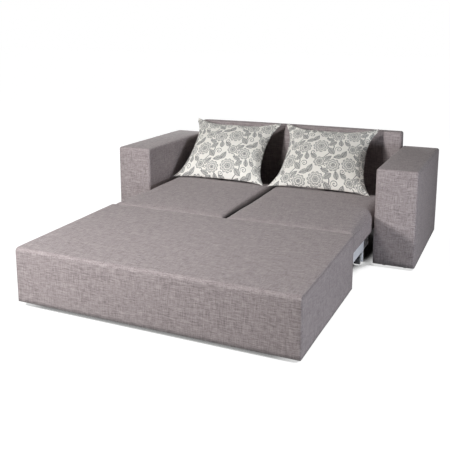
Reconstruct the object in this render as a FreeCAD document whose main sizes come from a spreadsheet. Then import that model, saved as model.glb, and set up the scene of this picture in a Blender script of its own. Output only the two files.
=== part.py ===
import FreeCAD, Part
import Sketcher
import math
import os
import re
from types import SimpleNamespace

# Sleeper sofa, opened as a bed: two box arms and a low back, a box that pulls out on
# wheels, a steel carriage that nests inside the box, two fold-over seat cushions and
# two pillows.  Millimetres, +Z up, +X to the right as seen from the front, +Y to the
# back.  The origin is on the floor under the middle of the opened sofa.

Vector = FreeCAD.Vector
SIDES = {"left": -1, "right": 1}
EIGHTH_TURN = math.cos(math.pi / 4)

doc = FreeCAD.newDocument("SleeperSofa")

SIZES = {
    # sofa body
    "InnerWidth": 1500, "ArmWidth": 240, "ArmDepth": 856, "ArmTop": 583, "BodyGap": 18,
    "BackTop": 683, "BackDepth": 76, "Padding": 10, "PlyWall": 12, "PostSize": 40,
    "EdgeRadius": 9, "DustSheet": 1, "GlideRadius": 20, "GlideFoot": 15, "GlideInset": 60,
    "BoltRadius": 4, "BoltHole": 4.3, "BoltLength": 112, "BoltHead": 6, "BoltHeadRadius": 7.5,
    "NutRadius": 7, "NutHole": 7.2, "NutLength": 20, "BoltLowest": 130, "BoltPitch": 190,
    # pull-out box
    "BedReach": 1308, "BoxDepth": 858, "BoxWidth": 1488, "BoxGap": 23, "BoxFrontTop": 303,
    "BoxRearTop": 322, "BoxCrown": 6, "BoxEdge": 12, "BoxPadding": 8, "PanelWall": 18,
    "DeckLevel": 213, "DeckWall": 12, "RibHeight": 18, "RibWidth": 45, "TopSkin": 4,
    "GlueBlock": 24, "GlueBlockFoot": 145, "ScrewRadius": 2, "ScrewHole": 2.2, "ScrewLength": 25,
    "ScrewGap": 1,
    "StopWidth": 22, "StopDepth": 20, "StopHeight": 40, "StopLevel": 100,
    # wheels and their brackets
    "WheelRadius": 22.5, "WheelWidth": 16, "TyreEdge": 2.5, "AxleRadius": 3, "AxleHole": 3.05,
    "BracketWall": 2, "BracketWidth": 44, "BracketHeight": 48, "BracketFoot": 14,
    "AxleLength": 22, "WheelGap": 1, "BoxWheelInset": 90, "ForkWheelWidth": 34,
    # steel carriage
    "CarriageLead": 502, "CarriageTail": 312, "RailTail": 150, "RailWidth": 1380,
    "RailTop": 188, "RailBottom": 82, "RailWall": 2, "LedgeWidth": 27, "TubeSize": 30,
    "TubeWall": 2, "SlatHeight": 16, "SlatWidth": 62, "SlatPitch": 148, "SlatCount": 9,
    "LegSize": 25, "LegBottom": 8, "SideLegPlace": 24, "LongeronSpread": 350,
    "LugWidth": 16, "LugWall": 4, "LugHeight": 40, "CapWall": 3,
    # seat cushions
    "CushionLength": 850, "CushionBottom": 188.4, "CushionRise": 15, "CushionCrown": 9,
    "CushionInset": 2, "CushionSkin": 4, "CushionEdge": 18, "CushionDrawIn": 4, "HingeGap": 2,
    "HingeStrip": 1.2, "HingeStripHeight": 60,
    # pillows
    "PillowWidth": 696, "PillowHeight": 585, "PillowThickness": 150, "PillowDrawIn": 16,
    "PillowSkin": 4, "PillowTilt": 37.5, "PillowFoot": 297, "PillowFootLevel": 342,
    "LeftPillowPlace": -388, "RightPillowPlace": 322,
}

sheet = doc.addObject("Spreadsheet::Sheet", "Sizes")
for row, (word, number) in enumerate(SIZES.items(), 1):
    sheet.set("A%d" % row, word)
    sheet.set("B%d" % row, str(number))
    sheet.setAlias("B%d" % row, word)
doc.recompute()
S = SimpleNamespace(**{word: float(sheet.get(word)) for word in SIZES})

# Places along Y that several pieces share, as formulas and, for shapes made by
# functions, as numbers.
ARM_FRONT = "(BedReach - ArmDepth) / 2"
BODY_REAR = "(BedReach + ArmDepth) / 2"
BOX_FRONT = "-(BedReach + ArmDepth) / 2"
BOX_REAR = "BoxDepth - (BedReach + ArmDepth) / 2"
arm_front = (S.BedReach - S.ArmDepth) / 2
box_front = -(S.BedReach + S.ArmDepth) / 2
box_rear = box_front + S.BoxDepth

finished = {}


def formula(text):
    """The text with each size's name pointing at the sheet."""
    return re.sub(r"[A-Za-z]\w*", lambda m: "Sizes." + m[0] if m[0] in SIZES else m[0], str(text))


def finish(name, piece):
    """Names a finished piece, which becomes one file."""
    piece.Label = name
    finished[name] = piece
    return piece


def place(piece, x, y, z):
    """Puts a piece's own origin at a place given by three formulas."""
    for axis, text in zip("xyz", (x, y, z)):
        piece.setExpression("Placement.Base." + axis, formula(text))
    return piece


def sided(side, low, high):
    """A span across the sofa, given for the right side and mirrored for the left."""
    if side > 0:
        return (low, high)
    return ("-(%s)" % high, "-(%s)" % low)


def block(x, y, z):
    """A box between two formulas along each axis."""
    box = doc.addObject("Part::Box", "Block")
    for prop, span in zip(("Length", "Width", "Height"), (x, y, z)):
        box.setExpression(prop, formula("(%s) - (%s)" % (span[1], span[0])))
    return place(box, x[0], y[0], z[0])


def rod(radius, length, x, y, z, direction):
    """A round bar from a place along a direction."""
    bar = doc.addObject("Part::Cylinder", "Rod")
    bar.setExpression("Radius", formula(radius))
    bar.setExpression("Height", formula(length))
    bar.Placement = FreeCAD.Placement(Vector(), FreeCAD.Rotation(Vector(0, 0, 1), Vector(*direction)))
    return place(bar, x, y, z)


def fused(members):
    """One solid from touching members."""
    joined = doc.addObject("Part::MultiFuse", "Joined")
    joined.Shapes = members
    joined.Refine = True
    return joined


def cut(base, tools):
    """The base with the tools taken away."""
    result = doc.addObject("Part::Cut", "Trimmed")
    result.Base = base
    result.Tool = tools[0] if len(tools) == 1 else group(tools)
    return result


def group(members):
    """Separate like solids kept together."""
    together = doc.addObject("Part::Compound", "Group")
    together.Links = members
    return together


def shaped(name, shape):
    """A finished piece whose shape is made by a function."""
    piece = doc.addObject("Part::Feature", name)
    piece.Shape = shape
    piece.Placement = FreeCAD.Placement()
    return finish(name, piece)


def tube(x, y, z, along):
    """A square steel tube open at both ends along one axis."""
    spans = [x, y, z]
    inner = []
    for axis, span in enumerate(spans):
        if axis == along:
            inner.append(span)
        else:
            inner.append(("%s + TubeWall" % span[0], "%s - TubeWall" % span[1]))
    return cut(block(*spans), [block(*inner)])


# Sketches and bodies

def attached_sketch(body, role):
    """An empty sketch on one of the body's own origin planes."""
    sketch = body.newObject("Sketcher::SketchObject", "Sketch")
    plane = [f for f in body.Origin.OriginFeatures if f.Role == role][0]
    sketch.AttachmentSupport = [(plane, "")]
    sketch.MapMode = "FlatFace"
    return sketch


def centred_rectangle(body, width, depth):
    """A rectangle about the body's origin, its two sizes bound to the sheet."""
    sketch = attached_sketch(body, "XY_Plane")
    corners = [Vector(-50, -50, 0), Vector(50, -50, 0), Vector(50, 50, 0), Vector(-50, 50, 0)]
    for corner in range(4):
        sketch.addGeometry(Part.LineSegment(corners[corner], corners[(corner + 1) % 4]))
    for line in range(4):
        sketch.addConstraint(Sketcher.Constraint("Coincident", line, 2, (line + 1) % 4, 1))
    for line, direction in ((0, "Horizontal"), (2, "Horizontal"), (1, "Vertical"), (3, "Vertical")):
        sketch.addConstraint(Sketcher.Constraint(direction, line))
    sketch.addConstraint(Sketcher.Constraint("Symmetric", 0, 1, 1, 2, -1, 1))
    for label, first, second, kind, text in (
            ("width", (0, 1), (0, 2), "DistanceX", width), ("depth", (1, 1), (1, 2), "DistanceY", depth)):
        index = sketch.addConstraint(Sketcher.Constraint(kind, *first, *second, 100))
        sketch.renameConstraint(index, label)
        sketch.setExpression("Constraints." + label, formula(text))
    return sketch


def padded_cover(name, width, depth, height, x, y):
    """A padded fabric cover over a box, open underneath, its seen edges rounded."""
    body = doc.addObject("PartDesign::Body", name)
    pad = body.newObject("PartDesign::Pad", "Pad")
    pad.Profile = centred_rectangle(body, width, depth)
    pad.setExpression("Length", formula(height))
    doc.recompute()
    top = pad.Shape.BoundBox.ZMax
    seen = []
    for number, edge in enumerate(pad.Shape.Edges, 1):
        if edge.BoundBox.ZMax > top - 1:
            seen.append("Edge%d" % number)
    rounding = body.newObject("PartDesign::Fillet", "Rounding")
    rounding.Base = (pad, seen)
    rounding.setExpression("Radius", formula("EdgeRadius"))
    hollow = body.newObject("PartDesign::Pocket", "Hollow")
    hollow.Profile = centred_rectangle(body, "%s - 2 * Padding" % width, "%s - 2 * Padding" % depth)
    hollow.setExpression("Length", formula("%s - Padding" % height))
    hollow.Reversed = True
    doc.recompute()
    if hollow.Shape.Volume > 0.5 * rounding.Shape.Volume:
        raise ValueError("the cover's hollow points away from it: " + name)
    place(body, x, y, "BodyGap")
    return body


# Sofa body

ARM_HEIGHT = "(ArmTop - BodyGap)"
BACK_HEIGHT = "(BackTop - BodyGap)"
BACK_MIDDLE = "(%s) - BackDepth / 2" % BODY_REAR
FRAME_FLOOR = "BodyGap + 2 * DustSheet"
BOLTS_PER_SIDE = 3
BACK_POST_STEPS = (-2, -1, 0, 1, 2)
bolt_levels = ["BoltLowest + %d * BoltPitch" % step for step in range(BOLTS_PER_SIDE)]


def arm_bolt_holes(side):
    """Clearance holes through an arm's inner wall and the back's end, one for each bolt."""
    start = "%d * (InnerWidth / 2 - 2 * PostSize)" % side
    return [rod("BoltHole", "4 * PostSize", start, BACK_MIDDLE, level, (side, 0, 0))
            for level in bolt_levels]


def arm(word, side):
    """One arm: timber frame, plywood shell, padded cover, dust cover and glides."""
    inner, outer = "InnerWidth / 2", "InnerWidth / 2 + ArmWidth"
    centre = "%d * (InnerWidth / 2 + ArmWidth / 2)" % side
    middle = "(%s) + ArmDepth / 2" % ARM_FRONT
    cover = padded_cover(word + "_arm_cover_body", "ArmWidth", "ArmDepth", ARM_HEIGHT, centre, middle)
    finish(word + "_arm_cover", cut(cover, arm_bolt_holes(side)))

    def inside(margin, low, high, floor, top):
        return block(sided(side, "%s + %s" % (inner, margin), "%s - %s" % (outer, margin)),
                     ("%s + %s" % (ARM_FRONT, margin), "%s - %s" % (BODY_REAR, margin)),
                     ("%s + %s" % (low, floor), "%s - %s" % (high, top)))

    outside = inside("Padding", "BodyGap", "ArmTop", "2 * DustSheet", "Padding")
    hollow = inside("(Padding + PlyWall)", "BodyGap", "ArmTop", "2 * DustSheet", "(Padding + PlyWall)")
    finish(word + "_arm_shell", cut(outside, [hollow] + arm_bolt_holes(side)))

    wall = "(Padding + PlyWall)"
    post_x = [sided(side, "%s + %s" % (inner, wall), "%s + %s + PostSize" % (inner, wall)),
              sided(side, "%s - %s - PostSize" % (outer, wall), "%s - %s" % (outer, wall))]
    post_y = [("%s + %s" % (ARM_FRONT, wall), "%s + %s + PostSize" % (ARM_FRONT, wall)),
              ("%s - %s - PostSize" % (BODY_REAR, wall), "%s - %s" % (BODY_REAR, wall))]
    full_x = sided(side, "%s + %s" % (inner, wall), "%s - %s" % (outer, wall))
    full_y = (post_y[0][0], post_y[1][1])
    low_z = (FRAME_FLOOR, "%s + PostSize" % FRAME_FLOOR)
    top_z = ("ArmTop - %s - PostSize" % wall, "ArmTop - %s" % wall)
    members = [block(across, along, (low_z[0], top_z[1])) for across in post_x for along in post_y]
    for level in (low_z, top_z):
        members += [block(across, full_y, level) for across in post_x]
        members += [block(full_x, along, level) for along in post_y]
    finish(word + "_arm_frame", cut(fused(members), arm_bolt_holes(side)))

    finish(word + "_arm_dust_cover", inside("Padding", "BodyGap + DustSheet", "BodyGap + 2 * DustSheet",
                                            "0", "0"))
    glides = []
    for across in ("%s + GlideInset" % inner, "%s - GlideInset" % outer):
        for along in ("%s + GlideInset" % ARM_FRONT, "%s - GlideInset" % BODY_REAR):
            glide = doc.addObject("Part::Cone", "Glide")
            glide.setExpression("Radius1", formula("GlideFoot"))
            glide.setExpression("Radius2", formula("GlideRadius"))
            glide.setExpression("Height", formula("BodyGap + DustSheet"))
            glides.append(place(glide, "%d * (%s)" % (side, across), along, "0"))
    finish(word + "_arm_glides", group(glides))


def back():
    """The low back between the arms."""
    holes = arm_bolt_holes(1) + arm_bolt_holes(-1)
    cover = padded_cover("back_cover_body", "InnerWidth", "BackDepth", BACK_HEIGHT, "0", BACK_MIDDLE)
    finish("back_cover", cut(cover, holes))
    x = ("-InnerWidth / 2 + Padding", "InnerWidth / 2 - Padding")
    front = "%s - BackDepth + Padding" % BODY_REAR
    rear = "%s - Padding" % BODY_REAR
    z = (FRAME_FLOOR, "BackTop - Padding")
    finish("back_front_panel", block(x, (front, "%s + PlyWall / 2" % front), z))
    finish("back_rear_panel", block(x, ("%s - PlyWall / 2" % rear, rear), z))
    y = ("%s + PlyWall / 2" % front, "%s - PlyWall / 2" % rear)
    members = [block(x, y, (z[0], "%s + PostSize" % z[0])), block(x, y, ("%s - PostSize" % z[1], z[1]))]
    for post in BACK_POST_STEPS:
        centre = "%d * (InnerWidth / 4 - Padding / 2 - PostSize / 4)" % post
        members.append(block(("%s - PostSize / 2" % centre, "%s + PostSize / 2" % centre), y, z))
    nut_holes = [rod("NutHole", "NutLength", "%d * (InnerWidth / 2 - Padding - PostSize / 2)" % side,
                     "%s - NutLength / 2" % BACK_MIDDLE, level, (0, 1, 0))
                 for side in SIDES.values() for level in bolt_levels]
    finish("back_frame", cut(fused(members), arm_bolt_holes(1) + arm_bolt_holes(-1) + nut_holes))
    finish("back_dust_cover", block(x, (front, rear), ("BodyGap + DustSheet", "BodyGap + 2 * DustSheet")))


def joining_bolts():
    """Bolts from inside the arms into round cross nuts in the back's end posts."""
    bolts, nuts = [], []
    for side in SIDES.values():
        head_seat = "%d * (InnerWidth / 2 + Padding + PlyWall + PostSize)" % side
        nut_place = "%d * (InnerWidth / 2 - Padding - PostSize / 2)" % side
        bore_start = "%s - %d * 2 * NutRadius" % (nut_place, side)
        nut_start = "%s - NutLength / 2" % BACK_MIDDLE
        for level in bolt_levels:
            shank = rod("BoltRadius", "BoltLength", head_seat, BACK_MIDDLE, level, (-side, 0, 0))
            head = doc.addObject("Part::Prism", "Head")
            head.Polygon = 6
            head.setExpression("Circumradius", formula("BoltHeadRadius"))
            head.setExpression("Height", formula("BoltHead"))
            outward = FreeCAD.Rotation(Vector(0, 0, 1), Vector(side, 0, 0))
            head.Placement = FreeCAD.Placement(Vector(), outward)
            bolts.append(fused([shank, place(head, head_seat, BACK_MIDDLE, level)]))
            nut = rod("NutRadius", "NutLength", nut_place, nut_start, level, (0, 1, 0))
            bore = rod("BoltHole", "4 * NutRadius", bore_start, BACK_MIDDLE, level, (side, 0, 0))
            nuts.append(cut(nut, [bore]))
    finish("joining_bolts", group(bolts))
    finish("barrel_nuts", group(nuts))


# Soft forms: a corner's radius is at most this share of the form's height, and this
# share of the crown is left at both ends of a form.

ROUNDEST_CORNER = 0.48
END_SWELL = 0.15


def outline(y, centre, half, low, high, corner, crown):
    """An upright closed outline at y: flat underside, four rounded corners, crowned top."""
    radius = min(corner, ROUNDEST_CORNER * (high - low))
    short = radius * (1 - EIGHTH_TURN)
    left, right = centre - half, centre + half

    def at(x, z):
        return Vector(x, y, z)

    edges = [
        Part.LineSegment(at(left + radius, low), at(right - radius, low)),
        Part.Arc(at(right - radius, low), at(right - short, low + short), at(right, low + radius)),
        Part.LineSegment(at(right, low + radius), at(right, high - radius)),
        Part.Arc(at(right, high - radius), at(right - short, high - short), at(right - radius, high)),
        Part.Arc(at(right - radius, high), at(centre, high + crown), at(left + radius, high)),
        Part.Arc(at(left + radius, high), at(left + short, high - short), at(left, high - radius)),
        Part.LineSegment(at(left, high - radius), at(left, low + radius)),
        Part.Arc(at(left, low + radius), at(left + short, low + short), at(left + radius, low)),
    ]
    return Part.Wire([edge.toShape() for edge in edges])


def soft_box(start, end, stations, centre, half, low, front_top, rear_top, corner, crown, draw_in, lift):
    """A loft along Y.  Each station is a distance from the start and how far the form
    has shrunk there; lift is the share of that shrinking which raises the underside."""
    wires = []
    for distance, shrink in stations:
        share = distance / (end - start)
        top = front_top + (rear_top - front_top) * share
        waist = draw_in * math.sin(math.pi * share)
        swell = crown * math.sin(math.pi * (END_SWELL + (1 - 2 * END_SWELL) * share))
        wires.append(outline(start + distance, centre, half - waist - shrink, low + lift * shrink,
                             top - shrink, corner, swell))
    return Part.makeLoft(wires, True, True)


# Where along its length a soft form has an outline between its two ends.

LENGTH_STATIONS = (0.25, 0.5, 0.75)


def soft_edge(edge):
    """Stations that round a form's front edge."""
    return [(0, edge), (edge * (1 - EIGHTH_TURN), edge * (1 - EIGHTH_TURN)), (edge, 0)]


def box_form(padding, skin, low):
    """The pull-out box's soft form, drawn in by the padding at its walls and the skin at its top."""
    start, end = box_front + padding, box_rear - padding
    length = end - start
    stations = soft_edge(S.BoxEdge)
    stations += [(share * length, 0) for share in LENGTH_STATIONS] + [(length, 0)]
    return soft_box(start, end, stations, 0, S.BoxWidth / 2 - padding, low, S.BoxFrontTop - skin,
                    S.BoxRearTop - skin, S.BoxEdge, S.BoxCrown, 0, 0)


def bed_cover_and_foam():
    """The box's padded cover in one piece over the front, the sides and the top, and the foam in it."""
    outer = box_form(0, 0, S.BoxGap)
    foam = box_form(S.BoxPadding, S.TopSkin, S.DeckLevel + S.DeckWall)
    # the foam's lower edges are square, so it fills the cover down to the deck
    width = S.BoxWidth - 2 * S.BoxPadding
    depth = S.BoxDepth - 2 * S.BoxPadding
    deck_top = S.DeckLevel + S.DeckWall
    lower_foam = Part.makeBox(width, depth, 2 * S.BoxEdge,
                              Vector(-width / 2, box_front + S.BoxPadding, deck_top))
    foam = foam.fuse(lower_foam).removeSplitter()
    panels = Part.makeBox(width, depth, deck_top, Vector(-width / 2, box_front + S.BoxPadding, 0))
    mouth_width = width - 2 * S.PanelWall
    mouth = Part.makeBox(mouth_width, 2 * S.BoxPadding, S.DeckLevel - S.RibHeight,
                         Vector(-mouth_width / 2, box_rear - S.BoxPadding, 0))
    cover = outer.cut(foam).cut(panels).cut(mouth)
    shaped("bed_cover", cover)
    shaped("mattress_foam", foam)


# How far the round of a cushion's free end has turned at each of its stations, in degrees.

NOSE_TURNS = (35, 60, 80)


def seat_cushion(word, side):
    """A fold-over seat cushion: crowned cover with drawn-in sides and a full round free end."""
    half = (S.BoxWidth / 2 - 2 * S.CushionInset) / 2
    centre = side * (S.CushionInset + half)
    start = box_rear + S.HingeGap
    high = S.BoxRearTop

    def form(inset):
        length = S.CushionLength - 2 * inset
        nose = (high - S.CushionBottom) / 2 - inset
        stations = soft_edge(S.CushionEdge)
        stations += [(share * length, 0) for share in LENGTH_STATIONS] + [(length - nose, 0)]
        for turn in NOSE_TURNS:
            angle = math.radians(turn)
            stations.append((length - nose + nose * math.sin(angle), nose * (1 - math.cos(angle))))
        return soft_box(start + inset, start + inset + length, stations, centre, half - inset,
                        S.CushionBottom + inset, high - inset, high - inset + S.CushionRise,
                        S.CushionEdge, S.CushionCrown, S.CushionDrawIn, 1)

    core = form(S.CushionSkin)
    shaped(word + "_seat_cover", form(0).cut(core))
    shaped(word + "_seat_foam", core)


# A pillow's outlines, as shares of its size from the seam to the middle, how full it
# is, how fast its drawn-in outline turns round towards the middle, and how much more
# than its crown the filling's thin edge is drawn in.

PILLOW_SHARES = (1, 0.9, 0.72, 0.48, 0.2)
PILLOW_FULLNESS = 2.3
PILLOW_ROUNDING = 3.2
PILLOW_INSET_RATIO = 8


def pillow_half(width, height, thickness):
    """Half a knife-edged pillow, lying on its seam: four drawn-in sides and a crowned top."""
    wires = []
    for share in PILLOW_SHARES:
        x, y = width / 2 * share, height / 2 * share
        rise = thickness / 2 * (1 - share ** PILLOW_FULLNESS)
        bow = S.PillowDrawIn * (PILLOW_ROUNDING * (1 - share) - 1)
        corners = [Vector(-x, -y, rise), Vector(x, -y, rise), Vector(x, y, rise), Vector(-x, y, rise)]
        bows = [Vector(0, -y - bow, rise), Vector(x + bow, 0, rise),
                Vector(0, y + bow, rise), Vector(-x - bow, 0, rise)]
        sides = [Part.Arc(corners[n], bows[n], corners[(n + 1) % 4]).toShape() for n in range(4)]
        wires.append(Part.Wire(sides))
    return Part.makeLoft(wires, True, False)


def pillow_form(inset):
    """A whole pillow about its own middle, drawn in by an inset, and further at its thin edges."""
    edge_inset = PILLOW_INSET_RATIO * inset
    half = pillow_half(S.PillowWidth - edge_inset, S.PillowHeight - edge_inset, S.PillowThickness - 2 * inset)
    return half.fuse(half.mirror(Vector(), Vector(0, 0, 1)))


def pillow(word, centre):
    """A pillow that stands on the bed and leans back towards the sofa's back."""
    tilt = math.radians(S.PillowTilt)
    reach = S.PillowHeight / 2
    middle = Vector(centre, arm_front + S.PillowFoot + reach * math.cos(tilt),
                    S.PillowFootLevel + reach * math.sin(tilt))
    leaning = FreeCAD.Placement(middle, FreeCAD.Rotation(Vector(1, 0, 0), S.PillowTilt))
    filling = pillow_form(S.PillowSkin)
    for name, shape in ((word + "_pillow_cover", pillow_form(0).cut(filling)),
                        (word + "_pillow_filling", filling)):
        shaped(name, shape).Placement = leaning


# Pull-out box

BOX_HALF = "(BoxWidth / 2 - BoxPadding)"
PANEL_Y = ("%s + BoxPadding" % BOX_FRONT, "%s - BoxPadding" % BOX_REAR)
SCREW_STATIONS = (0.08, 0.36, 0.64, 0.92)
RIB_STATIONS = (0.27, 0.54, 0.81)


def deck_screw_places():
    """Where the deck is screwed down into the side panels."""
    across = "(%s - PanelWall / 2)" % BOX_HALF
    return [("%d * %s" % (side, across), "%s + %s * BoxDepth" % (BOX_FRONT, station))
            for side in SIDES.values() for station in SCREW_STATIONS]


def deck_screw_holes():
    """Clearance holes through the deck into the side panels, a little deeper than the screws."""
    floor = "DeckLevel + DeckWall - ScrewLength - ScrewGap"
    return [rod("ScrewHole", "2 * ScrewLength", x, y, floor, (0, 0, 1)) for x, y in deck_screw_places()]


def pull_out_box():
    """The hollow box: panels, deck, ribs, glue blocks, stop blocks and screws."""
    panel_z = ("BoxGap + DustSheet", "DeckLevel")
    finish("box_front_panel", block(("-%s" % BOX_HALF, BOX_HALF),
                                    (PANEL_Y[0], "%s + PanelWall" % PANEL_Y[0]), panel_z))
    behind = ("%s + PanelWall" % PANEL_Y[0], PANEL_Y[1])
    inner = "%s - PanelWall" % BOX_HALF
    for word, side in SIDES.items():
        panel = block(sided(side, inner, BOX_HALF), behind, panel_z)
        finish("box_%s_panel" % word, cut(panel, deck_screw_holes()))
    deck = block(("-%s" % BOX_HALF, BOX_HALF), PANEL_Y, ("DeckLevel", "DeckLevel + DeckWall"))
    finish("box_deck", cut(deck, deck_screw_holes()))
    ribs = []
    rib_z = ("DeckLevel - RibHeight", "DeckLevel")
    for station in RIB_STATIONS:
        start = "%s + %s * BoxDepth" % (behind[0], station)
        ribs.append(block(("-(%s)" % inner, inner), (start, "%s + RibWidth" % start), rib_z))
    ribs.append(block(("-(%s)" % inner, inner), ("%s - RibWidth" % behind[1], behind[1]), rib_z))
    finish("deck_ribs", group(ribs))
    corners = [block(sided(side, "%s - GlueBlock" % inner, inner), (behind[0], "%s + GlueBlock" % behind[0]),
                     ("GlueBlockFoot", "DeckLevel"))
               for side in SIDES.values()]
    finish("corner_glue_blocks", group(corners))
    stop_y = "(%s) - CarriageLead + LugWall + BracketWall" % ARM_FRONT
    stops = [block(sided(side, "%s - StopWidth" % inner, inner), (stop_y, "%s + StopDepth" % stop_y),
                   ("StopLevel", "StopLevel + StopHeight"))
             for side in SIDES.values()]
    finish("stop_blocks", group(stops))
    screws = [rod("ScrewRadius", "ScrewLength", x, y, "DeckLevel + DeckWall - ScrewLength", (0, 0, 1))
              for x, y in deck_screw_places()]
    finish("deck_screws", group(screws))
    finish("hinge_strip", block(("-%s" % BOX_HALF, BOX_HALF), (BOX_REAR, "%s + HingeStrip" % BOX_REAR),
                                ("BoxRearTop - HingeStripHeight", "BoxRearTop - BoxEdge")))


# Wheels and brackets

def wheel(name, x, y, width="WheelWidth"):
    """A small moulded wheel about an axis across the sofa, turned from one outline."""
    body = doc.addObject("PartDesign::Body", name)
    sketch = attached_sketch(body, "XY_Plane")
    corners = [(-8, 4), (8, 4), (8, 20), (5, 22), (-5, 22), (-8, 20)]
    points = [Vector(across, out, 0) for across, out in corners]
    count = len(points)
    for corner in range(count):
        sketch.addGeometry(Part.LineSegment(points[corner], points[(corner + 1) % count]))
    for line in range(count):
        sketch.addConstraint(Sketcher.Constraint("Coincident", line, 2, (line + 1) % count, 1))
    bound = (("-%s / 2" % width, "AxleHole"),
             ("%s / 2" % width, "AxleHole"),
             ("%s / 2" % width, "WheelRadius - TyreEdge"),
             ("%s / 2 - TyreEdge" % width, "WheelRadius"),
             ("TyreEdge - %s / 2" % width, "WheelRadius"),
             ("-%s / 2" % width, "WheelRadius - TyreEdge"))
    for line, (across, out) in enumerate(bound):
        for kind, text in (("DistanceX", across), ("DistanceY", out)):
            index = sketch.addConstraint(Sketcher.Constraint(kind, -1, 1, line, 1, 5))
            label = "%s%d" % (kind, line)
            sketch.renameConstraint(index, label)
            sketch.setExpression("Constraints." + label, formula(text))
    turned = body.newObject("PartDesign::Revolution", "Turned")
    turned.Profile = sketch
    turned.ReferenceAxis = (sketch, ["H_Axis"])
    turned.Angle = 360
    finish(name, place(body, x, y, "WheelRadius"))


def wheel_place(side, wall_x):
    """Where across the sofa a wheel runs beside the bracket on a wall."""
    return "%d * (%s - BracketWall - WheelGap - WheelWidth / 2)" % (side, wall_x)


def wheel_bracket(side, wall_x, y):
    """A flat steel bracket on a wall that faces the sofa's middle, with its stub axle."""
    plate = block(sided(side, "%s - BracketWall" % wall_x, wall_x),
                  ("%s - BracketWidth / 2" % y, "%s + BracketWidth / 2" % y),
                  ("BracketFoot", "BracketFoot + BracketHeight"))
    start = "%d * (%s - BracketWall)" % (side, wall_x)
    axle = rod("AxleRadius", "AxleLength", start, y, "WheelRadius", (-side, 0, 0))
    return fused([plate, axle])


def wheel_fork(side, x, face_y):
    """A fork for a wide wheel: a plate on a leg's front face, two cheeks and the axle across them."""
    cheek = "(ForkWheelWidth / 2 + WheelGap)"
    z = ("BracketFoot", "BracketFoot + BracketHeight")
    axle_y = fork_axle(face_y)
    inner = "%s - %s - BracketWall" % (x, cheek)
    outer = "%s + %s + BracketWall" % (x, cheek)
    plate_y = ("%s - BracketWall" % face_y, face_y)
    cheek_y = ("%s - BracketFoot" % axle_y, plate_y[0])
    members = [block(sided(side, inner, outer), plate_y, z),
               block(sided(side, inner, "%s + BracketWall" % inner), cheek_y, z),
               block(sided(side, "%s - BracketWall" % outer, outer), cheek_y, z)]
    start = "%d * (%s)" % (side, inner)
    reach = "ForkWheelWidth + 2 * WheelGap + 2 * BracketWall"
    members.append(rod("AxleRadius", reach, start, axle_y, "WheelRadius", (side, 0, 0)))
    return fused(members)


def fork_axle(face_y):
    """Where a fork's axle lies in front of the leg that carries the fork."""
    return "%s - BracketWall - WheelGap - WheelRadius" % face_y


def box_wheels():
    """Four side-mounted wheels inside the box's side panels."""
    inner = "%s - PanelWall" % BOX_HALF
    places = {"front": "%s + BoxWheelInset" % BOX_FRONT, "rear": "%s - BoxWheelInset" % BOX_REAR}
    brackets = []
    for word, side in SIDES.items():
        for end, y in places.items():
            brackets.append(wheel_bracket(side, inner, y))
            wheel("box_wheel_%s_%s" % (end, word), wheel_place(side, inner), y)
    finish("box_wheel_brackets", group(brackets))


# Steel carriage

CARRIAGE_FRONT = "(%s) - CarriageLead" % ARM_FRONT
CARRIAGE_REAR = "(%s) + CarriageTail" % ARM_FRONT
RAIL_REAR = "(%s) + RailTail" % ARM_FRONT
LEDGE_TOP = "RailTop - SlatHeight"
RAIL_INNER = "(RailWidth / 2 - RailWall)"
SIDE_LEG_Y = ("(%s) + SideLegPlace" % ARM_FRONT, "(%s) + SideLegPlace + LegSize" % ARM_FRONT)
FRONT_LEG_Y = (CARRIAGE_FRONT, "%s + LegSize" % CARRIAGE_FRONT)
REAR_LEG_Y = ("%s - 2 * LegSize" % CARRIAGE_REAR, "%s - LegSize" % CARRIAGE_REAR)
CROSS_TUBE_SHARES = (0, 0.33, 0.66)


def carriage_rail(word, side):
    """A pressed side rail: an upright web with a ledge for the slats' tubes."""
    y = (CARRIAGE_FRONT, RAIL_REAR)
    ledge_z = ("%s - TubeSize - RailWall" % LEDGE_TOP, "%s - TubeSize" % LEDGE_TOP)
    web = block(sided(side, RAIL_INNER, "RailWidth / 2"), y, ("RailBottom", "RailTop"))
    ledge = block(sided(side, "%s - LedgeWidth" % RAIL_INNER, RAIL_INNER), y, ledge_z)
    finish("carriage_%s_rail" % word, fused([web, ledge]))


def carriage_tubes():
    """Cross tubes on the rails' ledges and longerons under them."""
    tube_z = ("%s - TubeSize" % LEDGE_TOP, LEDGE_TOP)
    starts = ["%s + %s * (CarriageLead + RailTail)" % (CARRIAGE_FRONT, share) for share in CROSS_TUBE_SHARES]
    starts += ["%s - TubeSize" % RAIL_REAR, "%s - TubeSize" % CARRIAGE_REAR]
    cross = [tube(("-%s" % RAIL_INNER, RAIL_INNER), (start, "%s + TubeSize" % start), tube_z, 0)
             for start in starts]
    finish("carriage_cross_tubes", group(cross))
    long_z = ("%s - 2 * TubeSize" % LEDGE_TOP, "%s - TubeSize" % LEDGE_TOP)
    spread = ["-LongeronSpread", "0", "LongeronSpread"]
    longerons, caps = [], []
    for middle in spread:
        x = ("%s - TubeSize / 2" % middle, "%s + TubeSize / 2" % middle)
        longerons.append(tube(x, (CARRIAGE_FRONT, CARRIAGE_REAR), long_z, 1))
        caps.append(block(x, (CARRIAGE_REAR, "%s + CapWall" % CARRIAGE_REAR), long_z))
    finish("carriage_longerons", group(longerons))
    finish("tube_end_caps", group(caps))


def slats():
    """Beech slats that lie along the carriage on its cross tubes."""
    half_count = (int(S.SlatCount) - 1) // 2
    boards = []
    for step in range(-half_count, half_count + 1):
        middle = "%d * SlatPitch" % step
        boards.append(block(("%s - SlatWidth / 2" % middle, "%s + SlatWidth / 2" % middle),
                            (CARRIAGE_FRONT, CARRIAGE_REAR), (LEDGE_TOP, "RailTop")))
    finish("carriage_slats", group(boards))


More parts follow.
